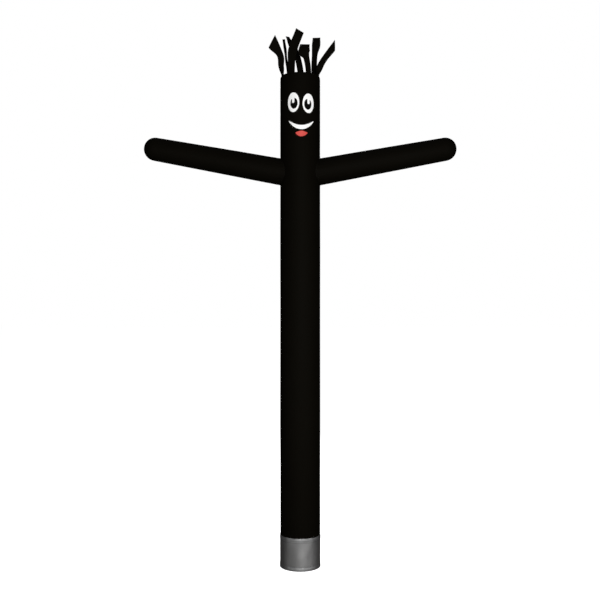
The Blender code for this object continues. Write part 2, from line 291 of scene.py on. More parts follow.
def map_cloth(piece: Piece, flat: Callable[[Vector], Place], seam_width: float = 0.0) -> None:
    """Gives a piece its flat cloth coordinates, before it is bent or turned into place.

    Args:
        piece: the piece.
        flat: where a point of the piece lies on the flat cloth, in metres.
        seam_width: width of the cloth that closes on itself, so that a face across that seam isn't smeared.
    """
    mesh = piece.data
    layer = mesh.uv_layers.get(UV_NAME) or mesh.uv_layers.new(name=UV_NAME)
    places = [flat(vertex.co) for vertex in mesh.vertices]
    for polygon in mesh.polygons:
        corners = [places[mesh.loops[loop].vertex_index] for loop in polygon.loop_indices]
        furthest = max(u for u, _ in corners)
        for loop, (u, v) in zip(polygon.loop_indices, corners):
            if seam_width and furthest - u > seam_width / 2:
                u += seam_width
            layer.data[loop].uv = (u, v)


def unroll(piece: Piece, radius: float, start: float) -> None:
    """Maps a piece that goes all the way round the Z axis to its flat cloth.

    Args:
        piece: the piece.
        radius: at which the cloth is as wide as it is cut.
        start: angle round the axis at which the flat cloth starts.
    """
    map_cloth(piece, lambda p: ((atan2(p.y, p.x) - start) % FULL_TURN * radius, p.z), FULL_TURN * radius)


def move_points(piece: Piece, to: Callable[[Vector], Vector]) -> None:
    """Moves every vertex of a piece to the place that a function gives for it."""
    for vertex in piece.data.vertices:
        vertex.co = to(vertex.co)
    piece.data.update()


def apply_modifier(piece: Piece, kind: str, **settings: object) -> None:
    """Adds a modifier and applies it.

    Args:
        piece: the piece.
        kind: the modifier's type.
        **settings: its settings.
    """
    only(piece)
    modifier = piece.modifiers.new(kind.lower(), kind)
    for name, value in settings.items():
        setattr(modifier, name, value)
    bpy.ops.object.modifier_apply(modifier=modifier.name)


def thicken(piece: Piece, thickness: float, offset: float = -1.0) -> None:
    """Gives a surface its cloth's thickness: inwards with an offset of -1, and both ways with 0."""
    apply_modifier(piece, "SOLIDIFY", thickness=thickness, offset=offset, use_even_offset=True)


def smooth(piece: Piece, sharpest: float = 42.0) -> None:
    """Shades a piece smooth, apart from the edges that are sharper than an angle in degrees."""
    only(piece)
    bpy.ops.object.shade_smooth_by_angle(angle=radians(sharpest))


def place(piece: Piece, matrix: Matrix) -> None:
    """Turns a piece into place and leaves its object at the origin.

    Args:
        piece: the piece.
        matrix: where it goes.
    """
    only(piece)
    piece.matrix_world = matrix
    bpy.ops.object.transform_apply(location=True, rotation=True, scale=True)


def dress(piece: Piece, material: Material, slot: Slot) -> None:
    """Gives a finished piece its material, and lets it ride on the one body.

    Args:
        piece: the finished piece.
        material: its finish.
        slot: not used.
    """
    piece.data.materials.clear()
    piece.data.materials.append(material)
    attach(piece, "root")
    LOG.info("%s: %d faces", piece.name, len(piece.data.polygons))


# ---- Shader maths ----


class Reading:
    """One number that varies over a surface; Python's operators on it add Math nodes."""

    def __init__(self, recipe: "Recipe", socket: Socket) -> None:
        """Wraps the output socket that gives the number, in the material that it is in."""
        self.recipe = recipe
        self.socket = socket

    def math(self, operation: str, *others: "Reading | float") -> "Reading":
        """Adds a Math node that takes this reading first and the others after it."""
        return self.recipe.math(operation, self, *others)

    def __add__(self, other: "Reading | float") -> "Reading":
        """self + other"""
        return self.math("ADD", other)

    __radd__ = __add__

    def __mul__(self, other: "Reading | float") -> "Reading":
        """self * other"""
        return self.math("MULTIPLY", other)

    __rmul__ = __mul__

    def __sub__(self, other: "Reading | float") -> "Reading":
        """self - other"""
        return self.math("SUBTRACT", other)

    def __rsub__(self, other: float) -> "Reading":
        """other - self"""
        return self.recipe.math("SUBTRACT", other, self)

    def __truediv__(self, other: "Reading | float") -> "Reading":
        """self / other"""
        return self.math("DIVIDE", other)

    def wave(self, length: float) -> "Reading":
        """A wave from 0 to 1 and back in each length."""
        return (self * (FULL_TURN / length)).math("SINE") * 0.5 + 0.5

    def between(self, low: float, high: float) -> "Reading":
        """0 up to low, 1 from high, and smooth in between.

        Args:
            low: where it starts to rise.
            high: where it is full.

        Returns:
            The smooth step.
        """
        inputs = {"Value": self, "From Min": low, "From Max": high}
        step = self.recipe.node("ShaderNodeMapRange", {"interpolation_type": "SMOOTHSTEP"}, inputs)
        return Reading(self.recipe, step.outputs["Result"])

    def lines(self, pitch: float, width: float) -> "Reading":
        """Soft lines across this reading, a pitch apart: 1 on a line's middle and 0 off it."""
        middle = ((self / pitch).math("FRACT") - 0.5).math("ABSOLUTE")
        return middle.between(0.5 - width / pitch, 0.5)

    def band(self, low: float, high: float, soft: float) -> "Reading":
        """1 between low and high and 0 elsewhere, with edges that fade over twice the softness."""
        return self.between(low - soft, low + soft) * (1 - self.between(high - soft, high + soft))


class Recipe:
    """A material's node tree round one Principled shader."""

    def __init__(self, name: str) -> None:
        """Starts a material.

        Args:
            name: the material's name.
        """
        self.material = bpy.data.materials.new(name)
        self.material.use_nodes = True
        self.tree = self.material.node_tree
        self.shader = self.tree.nodes["Principled BSDF"]

    def node(self, kind: str, settings: dict | None = None, inputs: dict | None = None) -> bpy.types.Node:
        """Adds a node.

        Args:
            kind: the node's type.
            settings: its own settings, set before anything is linked.
            inputs: the values or links of its sockets, by name or place.

        Returns:
            The node.
        """
        made = self.tree.nodes.new(kind)
        for name, value in (settings or {}).items():
            setattr(made, name, value)
        for key, value in (inputs or {}).items():
            self.feed(made.inputs[key], value)
        return made

    def feed(self, socket: Socket, value: object) -> None:
        """Fills one socket with a reading, an output socket or a plain value."""
        source = value.socket if isinstance(value, Reading) else value
        if isinstance(source, Socket):
            self.tree.links.new(source, socket)
        else:
            socket.default_value = source

    def math(self, operation: str, *values: Reading | float) -> Reading:
        """Adds a Math node of an operation, with its inputs in order."""
        made = self.node("ShaderNodeMath", {"operation": operation}, dict(enumerate(values)))
        return Reading(self, made.outputs["Value"])

    def flat(self) -> tuple[Reading, Reading]:
        """Where the surface lies on its flat cloth, in metres."""
        source = self.node("ShaderNodeUVMap", {"uv_map": UV_NAME})
        parts = self.node("ShaderNodeSeparateXYZ", None, {"Vector": source.outputs["UV"]})
        return Reading(self, parts.outputs["X"]), Reading(self, parts.outputs["Y"])

    def mottle(self, scale: float, detail: float, stretch: Triple | None = None) -> Reading:
        """Noise in the object's own coordinates.

        Args:
            scale: lumps in a metre.
            detail: how many finer layers it has.
            stretch: how much the scale is multiplied along each axis.

        Returns:
            The noise, from about 0 to 1.
        """
        where = self.node("ShaderNodeTexCoord").outputs["Object"]
        if stretch is not None:
            mapping = self.node("ShaderNodeMapping", None, {"Vector": where, "Scale": Vector(stretch)})
            where = mapping.outputs["Vector"]
        made = self.node("ShaderNodeTexNoise", None, {"Vector": where, "Scale": scale, "Detail": detail})
        return Reading(self, made.outputs["Fac"])

    def blend(self, share: Reading, low: Colour, high: Colour | Socket) -> Socket:
        """Mixes two colours.

        Args:
            share: how much of the second.
            low: the first colour, or a socket.
            high: the second colour, or a socket.

        Returns:
            The mixed colour.
        """
        made = self.node("ShaderNodeMix", {"data_type": "RGBA"})
        self.feed(made.inputs[0], share)
        for index, colour in ((6, low), (7, high)):
            self.feed(made.inputs[index], (*colour, 1.0) if isinstance(colour, tuple) else colour)
        return made.outputs[2]

    def relief(self, height: Reading, distance: float, strength: float = 1.0) -> None:
        """Feeds a bump to the shader's normal, on top of any bump that is there.

        Args:
            height: the relief, from 0 to 1.
            distance: its height in metres.
            strength: how much of it shows.
        """
        inputs = {"Height": height, "Distance": distance, "Strength": strength}
        bump = self.node("ShaderNodeBump", None, inputs)
        normal = self.shader.inputs["Normal"]
        if normal.is_linked:
            self.tree.links.new(normal.links[0].from_socket, bump.inputs["Normal"])
        self.tree.links.new(bump.outputs["Normal"], normal)

    def set(self, **values: object) -> None:
        """Feeds the shader's own sockets, each named with an underscore for a space."""
        for name, value in values.items():
            full = value if not (isinstance(value, tuple) and len(value) == 3) else (*value, 1.0)
            self.feed(self.shader.inputs[name.replace("_", " ")], full)


# ---- Finishes ----


@dataclass(frozen=True)
class Ripstop:
    """Thin nylon with a grid of thicker threads, which stops a tear."""

    name: str
    colour: Colour = (0.0020, 0.0016, 0.0008)
    worn: Colour = (0.0034, 0.0028, 0.0018)
    grid: float = 6.5 * MM
    grid_line: float = 1.1 * MM
    thread: float = 0.8 * MM
    specular: float = 0.02

    def material(self) -> Material:
        """Builds the material."""
        recipe = Recipe(self.name)
        u, v = recipe.flat()
        grid = u.lines(self.grid, self.grid_line).math("MAXIMUM", v.lines(self.grid, self.grid_line))
        weave = u.wave(self.thread) * v.wave(self.thread)
        soft = recipe.mottle(3.0, detail=4.0)
        creases = recipe.mottle(7.0, detail=2.0, stretch=(2.2, 2.2, 0.5))
        shade = (soft * 0.5 + grid * 0.4 + weave * 0.1).between(0.2, 0.8)
        recipe.set(
            Base_Color=recipe.blend(shade, self.colour, self.worn),
            Roughness=0.58 + soft * 0.16 + grid * 0.05,
            Specular_IOR_Level=self.specular,
        )
        recipe.relief(creases, 2.2 * MM, 0.7)
        recipe.relief(grid * 0.8 + weave * 0.2, 0.30 * MM, 0.9)
        return recipe.material


@dataclass(frozen=True)
class CoatedCloth:
    """Heavier nylon with a silvery coating, doubled in its hems."""

    name: str
    height: float
    hem: float
    colour: Colour = (0.470, 0.470, 0.472)
    hem_colour: Colour = (0.450, 0.450, 0.452)
    dust: Colour = (0.37, 0.365, 0.355)
    # painted shadow: the colour of the darker bands just inside the hems, where each hem's step would shade
    # the cloth
    shadow: Colour = (0.280, 0.280, 0.284)

    def material(self) -> Material:
        """Builds the material."""
        recipe = Recipe(self.name)
        u, v = recipe.flat()
        soft = recipe.mottle(9.0, detail=4.0)
        fine = recipe.mottle(60.0, detail=3.0)
        creases = recipe.mottle(10.0, detail=2.0, stretch=(1.6, 1.6, 0.7))
        weave = u.wave(2.4 * MM) * v.wave(2.4 * MM)
        cloth = recipe.blend(soft * 0.45 + fine * 0.25 + weave * 0.3, self.colour, self.dust)
        hems = v.band(-1.0, self.hem, 1.5 * MM) + v.band(self.height - self.hem, 1.0, 1.5 * MM)
        cloth = recipe.blend(hems * (0.85 + fine * 0.3), cloth, self.hem_colour)
        # Painted shadow: a darker band just inside each hem stands in for the shade that the hem's step
        # casts.
        low_step_shade = v.band(self.hem + 2 * MM, self.hem + 6 * MM, 2 * MM)
        high_step_shade = v.band(self.height - self.hem - 8 * MM, self.height - self.hem - 2 * MM, 2.5 * MM)
        cloth = recipe.blend((low_step_shade * 0.6 + high_step_shade * 0.75).math("MINIMUM", 1.0), cloth, self.shadow)
        scuffs = (1 - v.between(0.0, 22 * MM)) * fine.between(0.45, 0.70)
        recipe.set(
            Base_Color=recipe.blend(scuffs * 0.3, cloth, self.dust),
            Metallic=0.98 - scuffs * 0.08,
            Roughness=0.40 + soft * 0.12 + scuffs * 0.06,
            Specular_IOR_Level=0.2,
        )
        recipe.relief(creases, 4.0 * MM, 0.5)
        recipe.relief(soft, 2.5 * MM, 0.5)
        recipe.relief(weave, 0.30 * MM, 0.6)
        return recipe.material


@dataclass(frozen=True)
class PatchCloth:
    """Satin nylon of one colour, for the patches of the face."""

    name: str
    colour: Colour
    shade: Colour
    specular: float = 0.3

    def material(self) -> Material:
        """Builds the material."""
        recipe = Recipe(self.name)
        u, v = recipe.flat()
        soft = recipe.mottle(22.0, detail=4.0)
        ribs = (u + v * 0.5).wave(1.1 * MM)
        recipe.set(
            Base_Color=recipe.blend(soft.between(0.35, 0.75) * 0.5 + ribs * 0.15, self.colour, self.shade),
            Roughness=0.50 + soft * 0.14,
            Specular_IOR_Level=self.specular,
        )
        recipe.relief(soft, 1.0 * MM, 0.5)
        recipe.relief(ribs, 0.12 * MM, 0.6)
        return recipe.material


@dataclass(frozen=True)
class Thread:
    """Twisted polyester sewing thread."""

    name: str
    colour: Colour
    shade: Colour
    specular: float = 0.25

    def material(self) -> Material:
        """Builds the material."""
        recipe = Recipe(self.name)
        u, v = recipe.flat()
        twist = (u + v).wave(0.7 * MM)
        soft = recipe.mottle(40.0, detail=2.0)
        recipe.set(
            Base_Color=recipe.blend(twist * 0.5 + soft * 0.4, self.colour, self.shade),
            Roughness=0.45 + twist * 0.15,
            Specular_IOR_Level=self.specular,
        )
        recipe.relief(twist, 0.1 * MM, 0.5)
        return recipe.material


# ---- Sewing ----


@dataclass
class Sewing:
    """Stitches of one thread, all in one piece: short spindles that lie along their seam."""

    name: str
    thickness: float = 0.9 * MM
    pitch: float = 6.0 * MM  # from stitch to stitch in a row
    shows: float = 0.72  # how much of the pitch shows as thread
    full_at: Place = (0.25, 0.75)  # shares of its length between which a spindle is thickest
    points: list[Vector] = field(default_factory=list)
    faces: list[tuple[int, ...]] = field(default_factory=list)
    flats: list[Place] = field(default_factory=list)

    def stitch(self, start: Vector, end: Vector, out: Vector) -> None:
        """Adds one stitch.

        Args:
            start: where the thread comes out of the cloth.
            end: where it goes back in.
            out: which way the cloth faces.
        """
        along = end - start
        across = along.cross(out).normalized() * (self.thickness / 2)
        lift = out.normalized() * (self.thickness / 2)
        first, sides = len(self.points), 4
        self.points.append(start)
        self.flats.append((0.0, 0.0))
        for share in self.full_at:
            middle = start + along * share + lift * 0.6
            self.points += [middle + across, middle + lift, middle - across, middle - lift]
            self.flats += [(k / sides * MM, along.length * share) for k in range(sides)]
        self.points.append(end)
        self.flats.append((0.0, along.length))
        last = len(self.points) - 1
        for k in range(sides):
            a, b = first + 1 + k, first + 1 + (k + 1) % sides
            c, d = a + sides, b + sides
            self.faces += [(first, b, a), (a, b, d, c), (c, d, last)]

    def row(self, spots: Sequence[Spot]) -> None:
        """Sews a row of running stitches.

        Args:
            spots: places along the seam.
        """
        run, target = 0.0, 0.0
        start: Spot | None = None
        for (a, out_a), (b, out_b) in zip(spots, spots[1:]):
            length = (b - a).length
            while target <= run + length and length > 0:
                t = (target - run) / length
                here, out = a.lerp(b, t), out_a.lerp(out_b, t)
                if start is None:
                    start = (here, out)
                    target += self.pitch * self.shows
                else:
                    self.stitch(start[0], here, start[1])
                    start = None
                    target += self.pitch * (1 - self.shows)
            run += length

    def zigzag(self, inner: Sequence[Vector], outer: Sequence[Spot]) -> None:
        """Sews an edge down with a closed zigzag between two lines of places.

        Args:
            inner: places on the patch.
            outer: places off it, as many.
        """
        for here, following, (beyond, out) in zip(inner, inner[1:] + inner[:1], outer):
            self.stitch(here, beyond, out)
            self.stitch(beyond, following, out)

    def finish(self, material: Material, slot: Slot) -> None:
        """Makes the piece.

        Args:
            material: the thread's finish.
            slot: the slot that it stands for, passed on to dress.
        """
        mesh = bpy.data.meshes.new(self.name)
        mesh.from_pydata([tuple(point) for point in self.points], [], self.faces)
        layer = mesh.uv_layers.new(name=UV_NAME)
        for loop in mesh.loops:
            layer.data[loop.index].uv = self.flats[loop.vertex_index]
        piece = bpy.data.objects.new(self.name, mesh)
        link(piece)
        with editing(piece):
            bpy.ops.mesh.normals_make_consistent(inside=False)
        mesh.shade_smooth()
        dress(piece, material, slot)


# ---- The tube, and what all pieces on it take from it ----


@dataclass
class ArmLine:
    """Where an arm leaves the tube: the straight middle line and the taper of its sleeve."""

    side: Side
    slope: float = radians(10.25)
    height: float = 4.460  # where both arms' middle lines meet the tube's
    reach: float = 1.654  # sideways, to the middle of the round tip
    root_radius: float = 0.1516  # at the tube's side
    tip_radius: float = 0.1322

    @property
    def matrix(self) -> Matrix:
        """Turns +Z to point along the arm, from the place where the arms meet."""
        lean = Matrix.Rotation(self.side.value * (pi / 2 - self.slope), 4, "Y")
        return Matrix.Translation((0, 0, self.height)) @ lean

    @property
    def tip_start(self) -> float:
        """Distance along the arm to the middle of its round tip."""
        return self.reach / cos(self.slope)

    @property
    def side_start(self) -> float:
        """Distance along the arm to the tube's side."""
        return TUBE_RADIUS / cos(self.slope)

    def radius(self, along: float) -> float:
        """Outer radius of the sleeve's taper, at a distance along the arm from the tube's middle line."""
        share = (along - self.side_start) / (self.tip_start - self.side_start)
        return self.root_radius + (self.tip_radius - self.root_radius) * share

    def around(self, point: Vector) -> Triple:
        """A point's distance along the arm, its distance from the middle line and its angle round it."""
        local = self.matrix.inverted() @ point
        return local.z, *reversed(polar(local))

    def inside(self, point: Vector, out: float) -> float:
        """How far a point of the arm's own frame is inside a place just outside the tube's surface."""
        _, radius = polar(self.matrix @ point)
        return TUBE_RADIUS + out - radius

    def saddle(self, turn: float, out: float) -> float:
        """Where the sleeve meets the tube.

        Args:
            turn: angle round the arm.
            out: how far outside the tube's surface.

        Returns:
            Distance along the arm.
        """
        along = self.side_start
        for _ in range(12):
            along += self.inside(ring_point(self.radius(along), turn, along), out) * 0.9
        return along


@dataclass
class Tube:
    """The body: one long panel sewn into a tube, with its seam at the back and two armholes."""

    arms: list[ArmLine]
    columns: int = 144
    row_height: float = 24 * MM
    collar_top: float = 0.366
    tuck_radius: float = 0.2279  # inside the collar
    tuck_ease: float = 0.060  # height over which it widens above the collar
    shoulder: float = 5.545
    draw_in: float = 11.0 * MM
    shoulder_rows: int = 7
    crown_row: float = 0.45  # how far up the drawn-in part the crown is sewn on
    seam: FelledSeam = FelledSeam(6.0 * MM, 1.1 * MM, 1.5 * MM, 1.8 * MM, 0.03, 0.021, 5.0, drift=2.5)
    seam_foot: float = 1.6 * MM  # width of the column beside the seam
    low_gathers: Gathers = Gathers(4.0 * MM, 31, reach=0.11, start=0.03, hold=0.02)
    high_gathers: Gathers = Gathers(3.2 * MM, 27, reach=0.07, start=0.02)
    armhole_gathers: Gathers = Gathers(5.0 * MM, 23, reach=0.075, start=0.012)
    slackest: float = 1.4 * MM  # how far the cloth between its seams stands in
    face_low: float = 4.86
    face_high: float = 5.40
    face_half: float = 0.98  # half the angle that the face's patches take

    def __post_init__(self) -> None:
        """Takes the tube's ends from the CAD node."""
        low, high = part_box("tube")
        self.bottom, self.top = low.z, high.z

    def outline(self) -> list[Place]:
        """(radius, height) of the rings, from the tucked end up."""
        rings = [(self.tuck_radius, self.bottom), (self.tuck_radius, self.collar_top + GAP)]
        for share in (0.25, 0.5, 0.75):
            radius = self.tuck_radius + (TUBE_RADIUS - self.tuck_radius) * ease(share)
            rings.append((radius, self.collar_top + GAP + (self.tuck_ease - GAP) * share))
        start = self.collar_top + self.tuck_ease
        rows = round((self.shoulder - start) / self.row_height)
        rings += [(TUBE_RADIUS, height) for height in spread(start, self.shoulder, rows)]
        return rings + [self.on_shoulder(share) for share in spread(0.0, 1.0, self.shoulder_rows)[1:]]

    def on_shoulder(self, share: float) -> Place:
        """Where the tube draws in to the crown's seam.

        Args:
            share: how far up the drawn-in part.

        Returns:
            (radius, height).
        """
        turned = (pi / 2) * (1 - share)
        rise = (self.top - self.shoulder) * sin(pi / 2 - turned)
        return TUBE_RADIUS - self.draw_in * (1 - sin(turned)), self.shoulder + rise

    def slack(self, point: Vector) -> float:
        """How far the blown-up cloth stands inside the plain tube.

        Args:
            point: on the plain tube.

        Returns:
            The depth in metres; less than nothing on the raised seam.
        """
        turn, height = polar(point)[0], point.z
        if height < self.collar_top + GAP / 2:
            return 0.0
        depth = self.low_gathers.at(turn, height - self.collar_top, 1.0)
        depth += self.high_gathers.at(turn, self.top - height, 4.0)
        depth += self.slackest * billow(turn, 1.6, height * 0.9)
        for arm in self.arms:
            along, out, around = arm.around(point)
            past = out - arm.radius(along)
            if along > 0:
                gather = self.armhole_gathers.at(around, past, 9.0 + arm.side.value)
                depth = depth * ease(past / 0.03) + gather
        taut = ease((height - self.face_low) / 0.05) * ease((self.face_high - height) / 0.05)
        depth *= 1 - taut * ease((self.face_half + 0.25 - abs(turn - FRONT)) / 0.2)
        return self.seam.fell(depth, abs(turn - BACK) * TUBE_RADIUS, height, 1.0)

    def squeeze(self, turn: float) -> float:
        """Draws the columns at the back together, so that they follow the felled seam's edges.

        Args:
            turn: an even column's angle.

        Returns:
            The angle that it takes.
        """
        step = FULL_TURN / self.columns
        off = turn_from(turn, BACK) / step
        half = self.seam.half / TUBE_RADIUS / step
        foot = (self.seam.half + self.seam_foot) / TUBE_RADIUS / step
        end = float(self.columns)
        stops = ((0.0, 0.0), (1.0, half), (2.0, foot), (3.0, foot + 0.75), (5.0, 5.0), (end, end))
        size = abs(off)
        for (a, new_a), (b, new_b) in zip(stops, stops[1:]):
            if size <= b:
                moved = new_a + (new_b - new_a) * (size - a) / (b - a)
                return BACK + step * (moved if off > 0 else -moved)
        return turn

    def shaped(self, point: Vector) -> Vector:
        """Where a point of the plain tube lies on the sewn and blown-up one.

        Args:
            point: on the plain tube.

        Returns:
            The point's place.
        """
        even, radius = polar(point)
        turn = self.squeeze(even)
        plain = ring_point(radius, turn, point.z)
        return ring_point(polar(plain)[1] - self.slack(plain), turn, point.z)

    def armhole_cutter(self, arm: ArmLine) -> Piece:
        """The tapered plug that cuts one armhole, from inside the tube to outside it.

        Args:
            arm: the arm that is sewn into it.

        Returns:
            The cutter.
        """
        near, far = TUBE_RADIUS * 0.5, TUBE_RADIUS * 1.6
        bpy.ops.object.select_all(action="DESELECT")
        bpy.ops.mesh.primitive_cone_add(
            vertices=96,
            radius1=arm.radius(near) - NYLON,
            radius2=arm.radius(far) - NYLON,
            depth=far - near,
        )
        cutter = bpy.context.object
        place(cutter, arm.matrix @ Matrix.Translation((0, 0, (near + far) / 2)))
        return cutter

    def build(self, finish: Material, thread: Material) -> None:
        """Makes the tube and its sewing.

        Args:
            finish: the tube's cloth.
            thread: its thread.
        """
        tube = new_shell("tube_cloth", self.outline(), self.columns)
        unroll(tube, TUBE_RADIUS, FRONT)
        move_points(tube, self.shaped)
        thicken(tube, NYLON)
        for arm in self.arms:
            cutter = self.armhole_cutter(arm)
            apply_modifier(tube, "BOOLEAN", operation="DIFFERENCE", solver="EXACT", object=cutter)
            bpy.data.objects.remove(cutter)
        smooth(tube)
        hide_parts("tube")
        dress(tube, finish, Slot.RIPSTOP)
        self.sew(thread)

    def sew(self, thread: Material) -> None:
        """Sews the two rows of the back seam and the row that holds the crown.

        Args:
            thread: the thread's finish.
        """
        sewing = Sewing("tube_stitching")
        heights = spread(self.collar_top + 12 * MM, self.shoulder, 220)
        for side in (-1, 1):
            out = ring_point(1.0, BACK + side * (self.seam.half - self.seam.row) / TUBE_RADIUS)
            foot = out * (TUBE_RADIUS + self.seam.rise)
            sewing.row([(foot + Vector((0, 0, height)), out) for height in heights])
        radius, height = self.on_shoulder(self.crown_row)
        spots = []
        for turn in spread(0.0, FULL_TURN, self.columns):
            point = ring_point(radius, turn, height)
            depth = max(self.slack(point), 0.0)
            spots.append((point - ring_point(1.0, turn) * depth, ring_point(1.0, turn, 0.4).normalized()))
        sewing.row(spots)
        sewing.finish(thread, Slot.RIPSTOP)


# ---- Collar ----


@dataclass
class Collar:
    """The silvery sleeve that slips over the blower's outlet, with a hem turned out at each end."""

    inner: float = 0.2282
    cloth: float = 2.2 * MM
    hem: float = 45 * MM
    roll: float = 1.5 * MM  # radius of the folded ends
    step: float = 1.3 * MM  # height over which a hem ends
    dent: float = 0.4 * MM  # where a row of stitches pulls the cloth in
    slackest: float = 1.6 * MM  # how far the cloth between its hems stands in
    columns: int = 216

    def __post_init__(self) -> None:
        """Takes the collar's height from the CAD node."""
        self.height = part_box("collar")[1].z

    @property
    def stitched(self) -> Triple:
        """Heights of the rows of stitches, each of which is also a ring of the outline."""
        return self.hem - 7 * MM, self.height - self.hem + 7 * MM, self.height - 8 * MM

    def on_hem(self, height: float) -> Place:
        """(radius, height) of a hem's outside."""
        return self.inner + 2 * self.cloth - (self.dent if height in self.stitched else 0.0), height

    def outline(self) -> list[Place]:
        """(radius, height) round the collar's wall: down its outside and up its inside."""
        wall, hem = self.inner + self.cloth, self.inner + 2 * self.cloth
        fold = [(hem - self.roll * (1 - cos(t)), self.roll * (1 - sin(t))) for t in spread(0.0, pi / 2, 4)]
        rings = [(radius, self.height - inset) for radius, inset in fold[::-1]]
        upper = self.height - self.hem
        rings += [self.on_hem(self.height - drop * MM) for drop in (6, 8, 10, 24)]
        rings += [self.on_hem(upper + rise * MM) for rise in (9, 7, 5)]
        low, high = self.hem + self.step, upper - self.step
        rings += [(hem, upper), (wall, high)]
        rings += [(wall, height) for height in spread(high, low, 11)[1:-1]]
        rings += [(wall, low), (hem, self.hem)]
        rings += [self.on_hem(self.hem - drop * MM) for drop in (5, 7, 9, 24)]
        rings += fold
        return rings + [(self.inner, 0.0), (self.inner, self.height / 2), (self.inner, self.height), rings[0]]

    def sway(self, point: Vector) -> Vector:
        """Leaves the cloth a little uneven round the blower's outlet.

        Args:
            point: on the plain collar.

        Returns:
            Its place.
        """
        turn, radius = polar(point)
        middle = ease(point.z / 0.06) * ease((self.height - point.z) / 0.06)
        depth = self.slackest * middle * billow(turn, 2.4, point.z * 6, 0.9)
        if radius < self.inner + 0.5 * self.cloth:
            depth = 0.0
        if radius > self.inner + self.cloth:
            depth += 0.5 * MM * puckers(turn, 47, 3.0) * (1 - middle) * ease(point.z / 0.01)
        return ring_point(radius - min(depth, self.cloth * 0.6), turn, point.z)

    def build(self, finish: Material, thread: Material) -> None:
        """Makes the collar and its sewing.

        Args:
            finish: the collar's cloth.
            thread: its thread.
        """
        collar = new_shell("collar_cloth", self.outline()[::-1], self.columns)
        with editing(collar):
            bpy.ops.mesh.remove_doubles(threshold=MERGE)
            bpy.ops.mesh.normals_make_consistent(inside=False)
        unroll(collar, self.inner, FRONT)
        move_points(collar, self.sway)
        smooth(collar, 50.0)
        flat = (FULL_TURN * self.inner, self.height + 2 * self.hem)
        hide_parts("collar")
        dress(collar, finish, Slot.COATED)
        self.sew(thread)

    def sew(self, thread: Material) -> None:
        """Sews both hems, and the tube to the collar's top.

        Args:
            thread: the thread's finish.
        """
        sewing = Sewing("collar_stitching", thickness=1.1 * MM)
        out_at = self.inner + 2 * self.cloth - GAP
        outs = [ring_point(1.0, turn) for turn in spread(0.0, FULL_TURN, self.columns)]
        for height in self.stitched:
            sewing.row([(self.sway(out * out_at + Vector((0, 0, height))), out) for out in outs])
        sewing.finish(thread, Slot.COATED)


# ---- Crown and hair ----


@dataclass
class Crown:
    """The round panel on top, domed by the air, with its seam allowance turned down inside the tube."""

    tube_top: float
    rise: float = 42 * MM
    columns: int = 144
    steps: int = 20
    gathers: Gathers = Gathers(4.5 * MM, 25, reach=0.05, start=0.012)

    @property
    def radius(self) -> float:
        """Outer radius of the panel's turned-down edge."""
        return BAND_RADIUS - NYLON / 2 - GAP

    def outline(self) -> list[Place]:
        """(radius, height) of the rings, from the turned-down edge to just off the middle."""
        sphere = (self.radius**2 + self.rise**2) / (2 * self.rise)
        level = sqrt(sphere**2 - self.radius**2)
        rings = [(self.radius, self.tube_top - share * ALLOWANCE) for share in (1.0, 0.5)]
        for turned in spread(0.0, pi / 2, self.steps)[:-1]:
            radius = self.radius * cos(turned)
            rings.append((radius, self.tube_top + sqrt(sphere**2 - radius**2) - level))
        return rings + [(0.5 * MM, self.tube_top + self.rise)]

    def dished(self, point: Vector) -> Vector:
        """Gathers the panel a little towards its seam.

        Args:
            point: on the plain dome.

        Returns:
            Its place.
        """
        turn, radius = polar(point)
        edge = self.radius - radius
        depth = self.gathers.at(turn, edge, 6.0)
        depth += 1.5 * MM * ease(0.5 + lumps(point.x * 9, point.y * 9, 3.0)) * ease(edge / 0.05)
        return point - Vector((0, 0, depth))

    def build(self, finish: Material) -> None:
        """Makes the crown.

        Args:
            finish: its cloth.
        """
        crown = new_shell("crown_cloth", self.outline(), self.columns, close_end=True)
        map_cloth(crown, lambda p: (p.x, p.y))
        move_points(crown, self.dished)
        thicken(crown, NYLON)
        smooth(crown, SOFT_EDGE)
        width = 2 * (self.radius + ALLOWANCE)
        area = pi * (width / 2) ** 2
        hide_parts("crown")
        dress(crown, finish, Slot.RIPSTOP)


